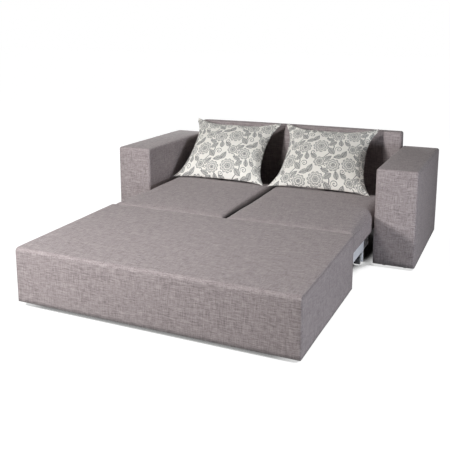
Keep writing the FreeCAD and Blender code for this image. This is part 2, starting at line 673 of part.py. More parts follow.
def carriage_legs():
    """Legs at the rails and under the outer longerons, with their wheels and stop lugs."""
    ledge_bottom = "%s - TubeSize - RailWall" % LEDGE_TOP
    side_x = ("%s - LegSize" % RAIL_INNER, RAIL_INNER)
    side_legs, brackets, lugs = [], [], []
    for word, side in SIDES.items():
        for y in (FRONT_LEG_Y, SIDE_LEG_Y):
            side_legs.append(tube(sided(side, *side_x), y, ("LegBottom", ledge_bottom), 2))
        front_axle_y = "%s + BracketWidth / 2" % FRONT_LEG_Y[0]
        brackets.append(wheel_bracket(side, side_x[0], front_axle_y))
        wheel("carriage_wheel_front_" + word, wheel_place(side, side_x[0]), front_axle_y)
        brackets.append(wheel_fork(side, side_x[0], SIDE_LEG_Y[0]))
        wheel("carriage_wheel_middle_" + word, "%d * (%s)" % (side, side_x[0]), fork_axle(SIDE_LEG_Y[0]),
              "ForkWheelWidth")
        lugs.append(block(sided(side, "RailWidth / 2", "RailWidth / 2 + LugWidth"),
                          (CARRIAGE_FRONT, "%s + LugWall" % CARRIAGE_FRONT),
                          ("StopLevel", "StopLevel + LugHeight")))
    finish("carriage_side_legs", group(side_legs))
    finish("carriage_stop_lugs", group(lugs))
    rear_x = ("LongeronSpread - LegSize / 2", "LongeronSpread + LegSize / 2")
    longeron_bottom = "%s - 2 * TubeSize" % LEDGE_TOP
    rear_legs = []
    for word, side in SIDES.items():
        rear_legs.append(tube(sided(side, *rear_x), REAR_LEG_Y, ("LegBottom", longeron_bottom), 2))
        axle_y = "(%s + %s) / 2" % REAR_LEG_Y
        brackets.append(wheel_bracket(side, rear_x[0], axle_y))
        wheel("carriage_wheel_rear_" + word, wheel_place(side, rear_x[0]), axle_y)
    finish("carriage_rear_legs", group(rear_legs))
    finish("carriage_wheel_brackets", group(brackets))


for word, side in SIDES.items():
    arm(word, side)
back()
joining_bolts()
pull_out_box()
box_wheels()
bed_cover_and_foam()
for word, side in SIDES.items():
    carriage_rail(word, side)
carriage_tubes()
slats()
carriage_legs()
for word, side in SIDES.items():
    seat_cushion(word, side)
pillow("left", S.LeftPillowPlace)
pillow("right", S.RightPillowPlace)
doc.recompute()

failed = [o.Label for o in doc.Objects if "Invalid" in o.State or "Error" in o.State]
for name, piece in finished.items():
    if piece.Shape.isNull() or not piece.Shape.isValid():
        failed.append(name)
if failed:
    raise ValueError("these pieces failed: " + ", ".join(failed))

os.makedirs("parts", exist_ok=True)
whole = FreeCAD.BoundBox()
for name, piece in finished.items():
    piece.Shape.exportStep("parts/%s.step" % name)
    whole.add(piece.Shape.BoundBox)
    print("%-28s solids %2d  volume %10.0f" % (name, len(piece.Shape.Solids), piece.Shape.Volume))
print("pieces", len(finished), "box", whole)
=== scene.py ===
import bpy
import bmesh
import math
from mathutils import Matrix, Vector, noise


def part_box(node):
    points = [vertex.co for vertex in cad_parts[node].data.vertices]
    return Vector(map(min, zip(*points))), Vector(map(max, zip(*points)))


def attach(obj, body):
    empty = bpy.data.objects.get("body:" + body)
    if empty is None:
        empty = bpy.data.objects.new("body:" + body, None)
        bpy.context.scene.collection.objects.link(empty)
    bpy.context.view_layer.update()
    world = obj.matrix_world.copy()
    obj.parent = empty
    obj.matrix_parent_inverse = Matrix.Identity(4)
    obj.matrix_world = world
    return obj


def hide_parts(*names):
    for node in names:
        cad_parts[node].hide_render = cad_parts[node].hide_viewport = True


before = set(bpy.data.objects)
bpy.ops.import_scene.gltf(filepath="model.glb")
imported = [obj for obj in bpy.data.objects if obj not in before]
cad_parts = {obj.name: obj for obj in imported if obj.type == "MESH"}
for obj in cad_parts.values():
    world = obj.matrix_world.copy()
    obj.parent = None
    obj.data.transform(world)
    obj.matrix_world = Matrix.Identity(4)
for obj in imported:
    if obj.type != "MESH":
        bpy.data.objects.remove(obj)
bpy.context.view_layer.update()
scene = bpy.context.scene


# The camera stands where the photographer stood: 1.4 m up, in front of the sofa and
# to its right, looking a little down.  The picture's frame is shifted below the
# lens's axis, as in the photograph.

CAMERA_PLACE = (1.5194, -3.5204, 1.3701)
CAMERA_YAW = 0.430
CAMERA_PITCH = -0.195

lens = bpy.data.cameras.new("camera")
lens.sensor_width = 36
lens.lens = 53.42
lens.shift_y = -0.1444
camera = bpy.data.objects.new("camera", lens)
camera.location = CAMERA_PLACE
camera.rotation_euler = (math.pi / 2 + CAMERA_PITCH, 0, CAMERA_YAW)
scene.collection.objects.link(camera)
scene.camera = camera


# The upholstery fabric: a plain weave of taupe polyester and linen with slub yarns,
# so its threads swell and thin along their length and vary in tone.  It is matt, with
# the short fibre bloom of a spun yarn.

TAUPE_LIGHT = "bdb2b2"
TAUPE_DARK = "7e7475"
# The near-black taupe and its strength are painted shade, mixed into seams and grooves.
PAINTED_SEAM_SHADE_COLOUR = "2c2829"
TAUPE_SHARES = (0.36, 0.64)
PAINTED_SEAM_SHADE_STRENGTH = 0.85
THREAD = 0.0036
SLUB = 0.040
THREAD_SHARES = (0.42, 0.26, 0.32)
THREAD_RELIEF = 0.0015


def linear(code):
    """A colour written as sRGB hex, in the linear values that a shader takes."""
    parts = [int(code[start:start + 2], 16) / 255 for start in (0, 2, 4)]
    return [c / 12.92 if c <= 0.04045 else ((c + 0.055) / 1.055) ** 2.4 for c in parts] + [1]


def wire(node, inputs):
    """Sets a node's inputs, each from a value, a socket or another node's first output."""
    for name, value in inputs.items():
        if isinstance(value, bpy.types.Node):
            value = value.outputs[0]
        if isinstance(value, bpy.types.NodeSocket):
            node.id_data.links.new(value, node.inputs[name])
        else:
            node.inputs[name].default_value = value


def add(tree, kind, inputs, **settings):
    """Adds a node with its settings and links."""
    node = tree.nodes.new("ShaderNode" + kind)
    for name, value in settings.items():
        setattr(node, name, value)
    wire(node, inputs)
    return node


def new_material(name):
    """A named material, its node tree and its shader."""
    material = bpy.data.materials.new(name)
    material.use_nodes = True
    return material, material.node_tree, material.node_tree.nodes["Principled BSDF"]


def streaks(tree, place, width, length, along, detail):
    """Tone along fibres that run one way: streaks a set length and width."""
    scale = [1 / width] * 3
    scale[along] = 1 / length
    stretched = add(tree, "Mapping", {"Vector": place, "Scale": scale})
    return add(tree, "TexNoise", {"Vector": stretched, "Scale": 1, "Detail": detail, "Roughness": 0.6})


def slub_linen(name):
    """Threads along all three axes, so that every face of a piece shows two crossing sets.
    The real thread is 1 mm: it is drawn three times as coarse, so that it shows.  Where a
    piece has a layer of painted shade, its seams and grooves are painted dark, mixed
    towards a near-black taupe."""
    material, tree, shader = new_material(name)
    place = add(tree, "TexCoord", {}).outputs["Object"]
    weave = None
    for along, share in enumerate(THREAD_SHARES):
        thread = streaks(tree, place, THREAD, SLUB, along, 1.5)
        if weave is None:
            weave = add(tree, "Math", {0: thread, 1: share}, operation="MULTIPLY")
        else:
            weave = add(tree, "Math", {0: thread, 1: share, 2: weave}, operation="MULTIPLY_ADD")
    tone = add(tree, "MapRange", {"Value": weave, "From Min": TAUPE_SHARES[0],
                                  "From Max": TAUPE_SHARES[1]})
    woven = add(tree, "MixRGB", {0: tone, 1: linear(TAUPE_DARK), 2: linear(TAUPE_LIGHT)})
    # Painted shade: the colour is mixed towards the near-black taupe as far as the mesh's
    # painted-shade layer says.
    seam_with_painted_shade = add(tree, "Attribute", {}, attribute_name="seam_with_painted_shade")
    painted_shade_amount = add(tree, "Math", {0: seam_with_painted_shade.outputs["Fac"], 1: PAINTED_SEAM_SHADE_STRENGTH}, operation="MULTIPLY")
    colour = add(tree, "MixRGB", {0: painted_shade_amount, 1: woven, 2: linear(PAINTED_SEAM_SHADE_COLOUR)})
    bump = add(tree, "Bump", {"Height": weave, "Strength": 0.6, "Distance": THREAD_RELIEF})
    wire(shader, {"Base Color": colour, "Roughness": 0.92, "Normal": bump,
                  "Sheen Weight": 0.12, "Sheen Roughness": 0.5, "Specular IOR Level": 0.25})
    return material


LINEN = slub_linen("slub_linen_upholstery")


# Arms: a plywood box with 10 mm of padding, covered tight in the slub linen, which is
# turned in underneath.  The cover's long edges are soft but crisp.

ARM_EDGE = 0.014
SKIN = 0.008
GRID_STEP = 0.035
PADDING_RISE = 0.005
UNEVENNESS = 0.0008
COVER_WAVES = 4
# The fabric's unevenness is the same each time that it is drawn.
UNEVENNESS_SEED = 1

noise.seed_set(UNEVENNESS_SEED)


def cut_across(mesh, axis, place):
    """A loop of edges right round a mesh where a plane crosses it."""
    point, normal = Vector(), Vector()
    point[axis] = place
    normal[axis] = 1
    everything = mesh.verts[:] + mesh.edges[:] + mesh.faces[:]
    bmesh.ops.bisect_plane(mesh, geom=everything, dist=1e-6, plane_co=point, plane_no=normal)


def cut_grid(mesh, low, high, step):
    """Loops along all three axes, close enough together for the faces to be shaped."""
    for axis in range(3):
        count = max(1, round((high[axis] - low[axis]) / step))
        for cut in range(1, count):
            cut_across(mesh, axis, low[axis] + (high[axis] - low[axis]) * cut / count)


def block(low, high):
    """A closed block between two corners."""
    mesh = bmesh.new()
    bmesh.ops.create_cube(mesh, size=1)
    bmesh.ops.scale(mesh, vec=high - low, verts=mesh.verts[:])
    bmesh.ops.translate(mesh, vec=(low + high) / 2, verts=mesh.verts[:])
    return mesh


def round_edges(mesh, edges, radius, segments):
    """Rounds the given edges."""
    bmesh.ops.bevel(mesh, geom=edges, offset=radius, offset_type="OFFSET", segments=segments,
                    profile=0.5, affect="EDGES", material=-1)


def swell(mesh, low, high, rise, unevenness, tight):
    """Fabric over padding: each face is proud in the middle, and nowhere quite even.  It
    stays flat on the tight faces, which another piece slides past."""
    centre, half = (low + high) / 2, (high - low) / 2
    for vertex in mesh.verts:
        share = [(vertex.co[axis] - centre[axis]) / half[axis] for axis in range(3)]
        moved = vertex.co + noise.noise_vector(vertex.co * COVER_WAVES) * unevenness
        for axis in range(3):
            fullness = (1 - share[axis - 2] ** 2) * (1 - share[axis - 1] ** 2)
            moved[axis] += rise * share[axis] ** 9 * fullness
        for axis, outwards in tight:
            if outwards > 0:
                moved[axis] = min(moved[axis], high[axis])
            else:
                moved[axis] = max(moved[axis], low[axis])
        vertex.co = moved


def finish_piece(mesh, name, material, body):
    """Makes a mesh a named piece that moves with a body."""
    data = bpy.data.meshes.new(name)
    mesh.to_mesh(data)
    mesh.free()
    data.polygons.foreach_set("use_smooth", [True] * len(data.polygons))
    data.materials.append(material)
    piece = bpy.data.objects.new(name, data)
    scene.collection.objects.link(piece)
    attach(piece, body)
    return piece


def cover_wall(piece, thickness):
    """The cover's own thickness, inwards from the surface that shows."""
    wall = piece.modifiers.new("wall", "SOLIDIFY")
    wall.thickness = thickness
    wall.offset = -1


def tight_cover(name, node, tight):
    """A tight cover over a box, open underneath."""
    low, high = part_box(node)
    mesh = block(low, high)
    seen = [e for e in mesh.edges if max(v.co.z for v in e.verts) > high.z - ARM_EDGE]
    round_edges(mesh, seen, ARM_EDGE, 4)
    under = [f for f in mesh.faces if f.normal.z < -0.9]
    bmesh.ops.delete(mesh, geom=under, context="FACES")
    cut_grid(mesh, low, high, GRID_STEP)
    swell(mesh, low, high, PADDING_RISE, UNEVENNESS, tight)
    piece = finish_piece(mesh, name, LINEN, "sofa_body")
    cover_wall(piece, SKIN)
    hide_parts(node)


for side, inwards in (("left", 1), ("right", -1)):
    tight_cover(side + "_arm_upholstery", side + "_arm_cover", [(0, inwards)])


# Back: a low, thin padded frame bolted between the arms, with a plywood panel on each
# face, covered in the same linen.  The closed box stops just short of it.

tight_cover("back_upholstery", "back_cover", [(1, -1)])


# Inside the arms and the back: planed pine frames, skinned with birch plywood.  The
# glides are turned black plastic, and a black spunbond sheet closes each underside.

PINE_LIGHT = "dcb888"
PINE_DARK = "b98a57"
BIRCH_LIGHT = "dfc7a0"
BIRCH_DARK = "c6a577"
BEECH_LIGHT = "d9b48a"
BEECH_DARK = "bd8f62"


def sawn_wood(name, light, dark, ring, run, roughness):
    """Wood with its grain along the sofa's width: tone across the growth rings, whose
    width is given, and fine pores along them, raised a little by the plane or cutter."""
    material, tree, shader = new_material(name)
    place = add(tree, "TexCoord", {}).outputs["Object"]
    rings = streaks(tree, place, ring, run, 0, 3)
    pores = streaks(tree, place, ring / 8, run / 10, 0, 1)
    mixed = add(tree, "Math", {0: pores, 1: 0.3, 2: rings}, operation="MULTIPLY_ADD")
    tone = add(tree, "MapRange", {"Value": mixed, "From Min": 0.45, "From Max": 0.85})
    colour = add(tree, "MixRGB", {0: tone, 1: linear(dark), 2: linear(light)})
    bump = add(tree, "Bump", {"Height": mixed, "Strength": 0.3, "Distance": 0.0004})
    wire(shader, {"Base Color": colour, "Roughness": roughness, "Normal": bump,
                  "Specular IOR Level": 0.4})
    return material


def moulded_plastic(name, code, grain, roughness):
    """Injection-moulded plastic: one colour right through, from a finely sparked mould."""
    material, tree, shader = new_material(name)
    place = add(tree, "TexCoord", {}).outputs["Object"]
    spark = add(tree, "TexNoise", {"Vector": place, "Scale": 1 / grain, "Detail": 1})
    bump = add(tree, "Bump", {"Height": spark, "Strength": 0.2, "Distance": grain / 4})
    worn = add(tree, "TexNoise", {"Vector": place, "Scale": 60, "Detail": 3})
    rough = add(tree, "MapRange", {"Value": worn, "To Min": roughness - 0.08,
                                   "To Max": roughness + 0.08})
    shade = add(tree, "MapRange", {"Value": worn, "To Min": 0.85, "To Max": 1.15})
    colour = add(tree, "VectorMath", {0: linear(code)[:3], 1: shade}, operation="MULTIPLY")
    wire(shader, {"Base Color": colour, "Roughness": rough, "Normal": bump, "IOR": 1.49})
    return material


def spunbond(name):
    """Black spunbond polypropylene: a flat felt of fibres, bonded at a grid of dots 1.6 mm
    apart."""
    material, tree, shader = new_material(name)
    place = add(tree, "TexCoord", {}).outputs["Object"]
    dots = add(tree, "TexVoronoi", {"Vector": place, "Scale": 1 / 0.0016, "Randomness": 0.2})
    fibres = add(tree, "TexNoise", {"Vector": place, "Scale": 700, "Detail": 2})
    felt = add(tree, "Math", {0: fibres, 1: 0.5, 2: dots}, operation="MULTIPLY_ADD")
    tone = add(tree, "MapRange", {"Value": felt, "From Max": 1.2})
    colour = add(tree, "MixRGB", {0: tone, 1: linear("1b1b1c"), 2: linear("2c2c2e")})
    bump = add(tree, "Bump", {"Height": felt, "Strength": 0.3, "Distance": 0.0003})
    wire(shader, {"Base Color": colour, "Roughness": 0.8, "Normal": bump, "Specular IOR Level": 0.3})
    return material


def dress(material, *nodes):
    """Gives the solids that keep their own shape their finish."""
    for node in nodes:
        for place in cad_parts[node].material_slots:
            place.material = material


PINE = sawn_wood("planed_pine", PINE_LIGHT, PINE_DARK, 0.004, 0.12, 0.65)
BIRCH = sawn_wood("birch_plywood", BIRCH_LIGHT, BIRCH_DARK, 0.009, 0.16, 0.6)
GLIDE_PLASTIC = moulded_plastic("black_polypropylene", "1c1c1d", 0.0006, 0.5)
DUST_SHEET = spunbond("black_spunbond")

for side in ("left", "right"):
    dress(PINE, side + "_arm_frame")
    dress(BIRCH, side + "_arm_shell")
    dress(DUST_SHEET, side + "_arm_dust_cover")
    dress(GLIDE_PLASTIC, side + "_arm_glides")
dress(PINE, "back_frame")
dress(BIRCH, "back_front_panel", "back_rear_panel")
dress(DUST_SHEET, "back_dust_cover")


# Bolts, nuts and screws: steel, bright zinc plated and passivated, with the plating's
# faint cloudiness.

def zinc_plate(name):
    """Zinc on mild steel: a blue-grey metal, its gloss broken up into clouds 6 mm across."""
    material, tree, shader = new_material(name)
    place = add(tree, "TexCoord", {}).outputs["Object"]
    clouds = add(tree, "TexNoise", {"Vector": place, "Scale": 1 / 0.006, "Detail": 3})
    rough = add(tree, "MapRange", {"Value": clouds, "To Min": 0.28, "To Max": 0.5})
    colour = add(tree, "MixRGB", {0: clouds, 1: linear("a9adb3"), 2: linear("c6c9cc")})
    bump = add(tree, "Bump", {"Height": clouds, "Strength": 0.1, "Distance": 0.0002})
    wire(shader, {"Base Color": colour, "Roughness": rough, "Normal": bump, "Metallic": 1})
    return material


ZINC = zinc_plate("zinc_plated_steel")
dress(ZINC, "joining_bolts", "barrel_nuts", "deck_screws", "box_wheel_brackets")


# Pull-out box: birch plywood panels on pine ribs with a foam mattress on the deck.  Its
# cover is one piece of fabric over the front and the top, seamed to a panel each side.

BOX_EDGE = 0.020
BOX_SIDE_EDGE = 0.005
BOX_WALL = 0.0072
BOX_UNEVENNESS = 0.001
SEAM_LINES = (0.0036, 0.0064, 0.0092)
SEAM_BAND = 0.0035
SEAM_DEPTH = 0.0040
PUCKER = 0.0030
PUCKER_PITCH = 0.03
BOX_GRID_STEP = 0.022
SAME_PLACE = 1e-5
CLOSE_BY = 0.001
CLEAR_OF_FOOT = 0.01
FRONT_TOP = 0.303
REAR_TOP = 0.322
MOUTH_HALF = 0.718
MOUTH_TOP = 0.195

dress(BIRCH, "box_front_panel", "box_left_panel", "box_right_panel", "box_deck")
dress(PINE, "deck_ribs", "corner_glue_blocks", "stop_blocks")


def side_seams(mesh, low, top):
    """Sinks the seams that join the side panels to the fabric over the front and top, and
    paints shade along the middle of each sunk groove.
    """
    for offset in SEAM_LINES:
        cut_across(mesh, 2, top.z - offset)
        cut_across(mesh, 1, low.y + offset)
    middle = SEAM_LINES[1]
    # Painted shade: the layer is set to full along each groove's sunk middle.
    seam_with_painted_shade = mesh.verts.layers.float.new("seam_with_painted_shade")
    for vertex in mesh.verts:
        if abs(vertex.co.x) < top.x - SEAM_BAND:
            continue
        below, behind = top.z - vertex.co.z, vertex.co.y - low.y
        gap = min(below, behind)
        if abs(gap - middle) < SAME_PLACE:
            vertex.co.x -= math.copysign(SEAM_DEPTH, vertex.co.x)
            vertex[seam_with_painted_shade] = 1
        elif gap > middle:
            along = vertex.co / PUCKER_PITCH
            puffed = PUCKER * noise.noise(along) * math.exp(-gap / PUCKER_PITCH)
            vertex.co.x += math.copysign(puffed, vertex.co.x)


def bed_box():
    """The box's cover, a shell open underneath and at the rear below the deck.  It is
    shaped level, and then its top is lowered towards the front."""
    low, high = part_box("bed_cover")
    top = Vector((high.x, high.y, REAR_TOP))
    mesh = block(low, top)
    front = [e for e in mesh.edges
             if all(v.co.y < low.y + CLOSE_BY and v.co.z > low.z + CLEAR_OF_FOOT for v in e.verts)]
    round_edges(mesh, front, BOX_EDGE, 6)
    reach = BOX_EDGE + CLOSE_BY
    sides = [e for e in mesh.edges if all(abs(v.co.x) > high.x - CLOSE_BY for v in e.verts)
             and e.calc_face_angle(0) > 0.5
             and (all(v.co.y < low.y + reach for v in e.verts)
                  or all(v.co.z > top.z - reach for v in e.verts))
             and max(v.co.z for v in e.verts) > low.z + CLEAR_OF_FOOT]
    round_edges(mesh, sides, BOX_SIDE_EDGE, 3)
    cut_grid(mesh, low, top, BOX_GRID_STEP)
    for place in (-MOUTH_HALF, MOUTH_HALF):
        cut_across(mesh, 0, place)
    cut_across(mesh, 2, MOUTH_TOP)
    side_seams(mesh, low, top)
    gone = []
    for face in mesh.faces:
        centre = face.calc_center_median()
        under = face.normal.z < -0.9
        inside_mouth = abs(centre.x) < MOUTH_HALF and centre.z < MOUTH_TOP
        if under or (inside_mouth and centre.y > high.y - CLOSE_BY):
            gone.append(face)
    bmesh.ops.delete(mesh, geom=gone, context="FACES")
    for vertex in mesh.verts:
        share = (vertex.co.z - low.z) / (REAR_TOP - low.z)
        slope = (vertex.co.y - low.y) / (high.y - low.y)
        sloping_top = FRONT_TOP + (REAR_TOP - FRONT_TOP) * slope
        vertex.co.z = low.z + share * (sloping_top - low.z)
    swell(mesh, low, top, PADDING_RISE, BOX_UNEVENNESS, [(0, 1), (0, -1), (1, 1)])
    piece = finish_piece(mesh, "bed_upholstery", LINEN, "pull_out_box")
    cover_wall(piece, BOX_WALL)
    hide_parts("bed_cover", "mattress_foam")


bed_box()


# Hinge: a doubled strip of the same linen, sewn along the box's rear top edge and the
# seat cushions' front edges, so that the cushions can fold over on to the box.

HINGE_WIDTH = 0.0030
HINGE_TOP = 0.3166
HINGE_FOOT = 0.262
HINGE_FOLD = 0.0012
HINGE_CUTS = 40


def sewn_hinge():
    """The folded strip, its rounded fold uppermost, close to the cushions' edges."""
    low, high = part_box("hinge_strip")
    foot = Vector((low.x, high.y - HINGE_WIDTH, HINGE_FOOT))
    mesh = block(foot, Vector((high.x, high.y, HINGE_TOP)))
    fold = [e for e in mesh.edges if all(v.co.z > HINGE_TOP - CLOSE_BY for v in e.verts)
            and abs(e.verts[0].co.x - e.verts[1].co.x) > CLOSE_BY]
    round_edges(mesh, fold, HINGE_FOLD, 3)
    for cut in range(1, HINGE_CUTS):
        cut_across(mesh, 0, low.x + (high.x - low.x) * cut / HINGE_CUTS)
    piece = finish_piece(mesh, "hinge_fabric", LINEN, "pull_out_box")
    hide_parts("hinge_strip")


sewn_hinge()


# Seat cushions: two fold-over foam cushions side by side, their covers sewn to the
# hinge strip.  Their shoulders and free ends are full and round, their undersides flat.

SEAT_TOP = 0.322
FULL_FROM = 0.45
SHOULDERS = (0.010, 0.046)
SPLIT_SHOULDERS = (0.008, 0.026)
FREE_END = 0.056
LOWER_EDGE = 0.012
HINGE_EDGE = 0.005
CORNER = 0.045
SEAT_SLOPE = 0.015
SEAT_CROWN = 0.006
SEAT_UNEVENNESS = 0.0012
SEAT_WAVES = 5
SEAT_ROOM = 0.002
REAR_ROOM = 0.004
SEAT_STEP = 0.013
SEAM_FADE = 0.30
# How far painted shade reaches into the split, across and down.
PAINTED_SPLIT_SHADE = 0.014


def blown_up(piece, frames, pressure, cap):
    """Swells a closed fabric piece with inner pressure, no point further than the cap."""
    start = [vertex.co.copy() for vertex in piece.data.vertices]
    cloth = piece.modifiers.new("cloth", "CLOTH")
    cloth.settings.use_pressure = True
    cloth.settings.uniform_pressure_force = pressure
    cloth.settings.effector_weights.gravity = 0
    cloth.settings.tension_stiffness = 25
    cloth.settings.compression_stiffness = 25
    cloth.settings.bending_stiffness = 1.5
    cloth.point_cache.frame_end = frames
    for number in range(1, frames + 1):
        scene.frame_set(number)
    graph = bpy.context.evaluated_depsgraph_get()
    swollen = [vertex.co.copy() for vertex in piece.evaluated_get(graph).data.vertices]
    piece.modifiers.remove(cloth)
    scene.frame_set(1)
    for vertex, first, last in zip(piece.data.vertices, start, swollen):
        move = last - first
        if move.length > cap:
            move *= cap / move.length
        vertex.co = first + move


def rounding(gaps, radii):
    """How far a surface has dropped near rounded edges, given its distances from them."""
    shares = [max(0, 1 - gap / radius) for gap, radius in zip(gaps, radii)]
    total = sum(share ** 2 for share in shares)
    if total == 0:
        return 0
    radius = sum(r * share ** 2 for r, share in zip(radii, shares)) / total
    return radius * (1 - math.sqrt(1 - min(total, 1)))


def seat_block(low, high):
    """The block that a cushion is formed from, cut up finely and along its side seams."""
    mesh = block(low, high)
    cut_grid(mesh, low, high, SEAT_STEP)
    for offset in SEAM_LINES:
        cut_across(mesh, 2, high.z - offset)
    return mesh


def seat_cushion(side):
    """One seat cushion: a block drawn to its rounded form, then swollen by its filling.  Shade
    is painted into its arm-side seams near the hinge and down into the split between
    the cushions.
    """
    outer_low, outer_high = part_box(side + "_seat_cover")
    low = Vector((outer_low.x + SEAT_ROOM, outer_low.y, outer_low.z + SEAT_ROOM))
    high = Vector((outer_high.x - SEAT_ROOM, outer_high.y - REAR_ROOM, SEAT_TOP))
    outwards = 1 if side == "right" else -1
    arm_x, split_x = (high.x, low.x) if side == "right" else (low.x, high.x)
    mesh = seat_block(low, high)
    # Painted shade: dark in the arm-side seams, fading away from the hinge, and deep in the split.
    dark = mesh.verts.layers.float.new("seam_with_painted_shade")
    for vertex in mesh.verts:
        x, y, z = vertex.co
        share = (z - low.z) / (high.z - low.z)
        seam_with_painted_shade = abs(x - arm_x) < SAME_PLACE and abs(high.z - z - SEAM_LINES[1]) < SAME_PLACE
        for edge, inwards in ((arm_x, -outwards), (split_x, outwards)):
            across, along = CORNER - abs(edge - x), CORNER - (high.y - y)
            if across > 0 and along > 0:
                fit = max(across, along) / math.hypot(across, along)
                x += inwards * across * (1 - fit)
                y -= along * (1 - fit)
        along = (y - low.y) / (high.y - low.y)
        across = 2 * (x - low.x) / (high.x - low.x) - 1
        fuller = min(1, along / FULL_FROM)
        fuller = fuller * fuller * (3 - 2 * fuller)
        shoulder = SHOULDERS[0] + (SHOULDERS[1] - SHOULDERS[0]) * fuller
        split = SPLIT_SHOULDERS[0] + (SPLIT_SHOULDERS[1] - SPLIT_SHOULDERS[0]) * fuller
        gaps = (abs(arm_x - x), abs(split_x - x), high.y - y, y - low.y)
        crown = SEAT_CROWN * (1 - across ** 2) * (1 - (2 * along - 1) ** 4)
        full = high.z + SEAT_SLOPE * along + crown
        upper = full - rounding(gaps, (shoulder, split, FREE_END, HINGE_EDGE))
        lower = low.z + rounding(gaps, (LOWER_EDGE, LOWER_EDGE, FREE_END, LOWER_EDGE))
        if seam_with_painted_shade:
            tightness = max(0, 1 - along / SEAM_FADE)
            x -= outwards * SEAM_DEPTH * tightness
            vertex[dark] = tightness
        vertex.co = (x, y, lower + (upper - lower) * share)
        # Painted shade down the split's facing side, darker the further below the top.
        into_split = max(0, 1 - gaps[1] / PAINTED_SPLIT_SHADE)
        vertex[dark] = max(vertex[dark], into_split * min(1, (full - vertex.co.z) / PAINTED_SPLIT_SHADE))
        vertex.co += noise.noise_vector(vertex.co * SEAT_WAVES) * SEAT_UNEVENNESS
    piece = finish_piece(mesh, side + "_seat_upholstery", LINEN, side + "_seat_cushion")
    blown_up(piece, frames=12, pressure=3, cap=0.004)
    for vertex in piece.data.vertices:
        vertex.co.x = min(max(vertex.co.x, outer_low.x), outer_high.x)
        vertex.co.y = max(vertex.co.y, outer_low.y)
        vertex.co.z = max(vertex.co.z, outer_low.z)
    smooth = piece.modifiers.new("smooth", "SUBSURF")
    smooth.levels = smooth.render_levels = 1
    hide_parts(side + "_seat_cover", side + "_seat_foam")


for side in ("left", "right"):
    seat_cushion(side)


# Pillows: two knife-edged scatter pillows in cream cotton, screen printed in grey with
# flowers, leaves and curling stems.  They lean back on the seat, slack at the corners.

PILLOW_WIDTH = 0.712
PILLOW_HEIGHT = 0.598
PILLOW_THICKNESS = 0.150
PILLOW_REACH = 0.377
PILLOW_TILT = 37.8
PILLOW_FOOT = (0.503, 0.342)
PILLOW_CLEARANCE = 0.003
PILLOW_X = {"left": -0.388, "right": 0.322}
SIDE_DRAW = 0.064
WAIST = 0.12
TOP_DRAW = 0.058
FOOT_DRAW = 0.016
TOP_NARROWING = {"left": 0.077, "right": 0.099}
LEAN = {"left": 0.036, "right": 0.044}
EAR = 0.014
EAR_LIFT = 0.3
DRAW_SHAPE = 2.6
ROUNDNESS = 0.74
SETTLING = 0.18
SINKING = 0.04
FOLD, FOLD_REACH = 0.0045, 0.42
FOLDS, FOLD_SHIFT = 9, 1.7
FOLD_START = 0.12
PUCKERING, PUCKER_REACH = 0.006, 0.10
PUCKER_RATE = 30
EASE, EASE_RATE = 0.005, 6
HEM = 0.04
PROPORTION = 0.8
COTTON = "f4f1ea"
INK = "484c52"
REPEAT = (0.184, 0.228)
OUTLINE = 0.0030
PRINT_SCALE = 1.22
PRINT_SHIFT = (0.083, 0.041)
SCREEN = 0.46
# Flowers: middle across and up, radius, turn, and rings of petals, each with its share of
# the radius and its number.
FLOWERS = (
    (0.052, 0.062, 0.048, 0.3, ((1.0, 11), (0.70, 9), (0.40, 6))),
    (0.140, 0.160, 0.041, 1.1, ((1.0, 9), (0.64, 8), (0.32, 5))),
    (0.060, 0.176, 0.033, 0.6, ((1.0, 8), (0.58, 6))),
)
# Leaves: middle across and up, length, half the width, and turn.
LEAVES = (
    (0.115, 0.030, 0.066, 0.017, 0.85),
    (0.114, 0.086, 0.062, 0.016, -0.75),
    (0.012, 0.130, 0.060, 0.016, 1.95),
    (0.096, 0.122, 0.054, 0.014, 0.35),
    (0.104, 0.200, 0.060, 0.016, 2.35),
    (0.164, 0.098, 0.054, 0.014, 1.35),
    (0.162, 0.220, 0.058, 0.015, -0.35),
    (0.020, 0.214, 0.050, 0.014, 0.6),
)
# Curls: middle across and up, radius, and turn.
CURLS = (
    (0.158, 0.046, 0.022, 0.4),
    (0.098, 0.160, 0.016, 2.2),
    (0.014, 0.012, 0.017, 4.0),
)
STEM_COLUMN = 0.098
STEM_SWING = 0.030


def repeat_place(tree, cloth, at):
    """Where a point lies from the nearest copy of a place in a half-drop repeat."""
    across = add(tree, "Math", {0: cloth.outputs[0], 1: at[0]}, operation="SUBTRACT")
    x = add(tree, "Math", {0: across, 1: REPEAT[0] / 2, 2: -REPEAT[0] / 2}, operation="WRAP")
    column = add(tree, "Math", {0: across, 1: x}, operation="SUBTRACT")
    drop = add(tree, "Math", {0: column, 1: -REPEAT[1] / 2 / REPEAT[0], 2: -at[1]},
               operation="MULTIPLY_ADD")
    along = add(tree, "Math", {0: cloth.outputs[1], 1: drop}, operation="ADD")
    y = add(tree, "Math", {0: along, 1: REPEAT[1] / 2, 2: -REPEAT[1] / 2}, operation="WRAP")
    return x, y


def motif_place(tree, cloth, at, turn):
    """A point in the turned frame of the nearest copy of a motif."""
    x, y = repeat_place(tree, cloth, at)
    local = add(tree, "CombineXYZ", {0: x, 1: y})
    return add(tree, "VectorRotate", {"Vector": local, "Angle": turn}, rotation_type="Z_AXIS")


def polar(tree, local):
    """Distance and bearing of a point from its motif's middle."""
    parts = add(tree, "SeparateXYZ", {0: local})
    reach = add(tree, "VectorMath", {0: local}, operation="LENGTH").outputs["Value"]
    bearing = add(tree, "Math", {0: parts.outputs[1], 1: parts.outputs[0]}, operation="ARCTAN2")
    return reach, bearing


def over(tree, ink, motif, clear):
    """A motif printed over the ink so far, which stays only where the motif leaves it clear."""
    return add(tree, "Math", {0: ink, 1: clear, 2: motif}, operation="MULTIPLY_ADD")


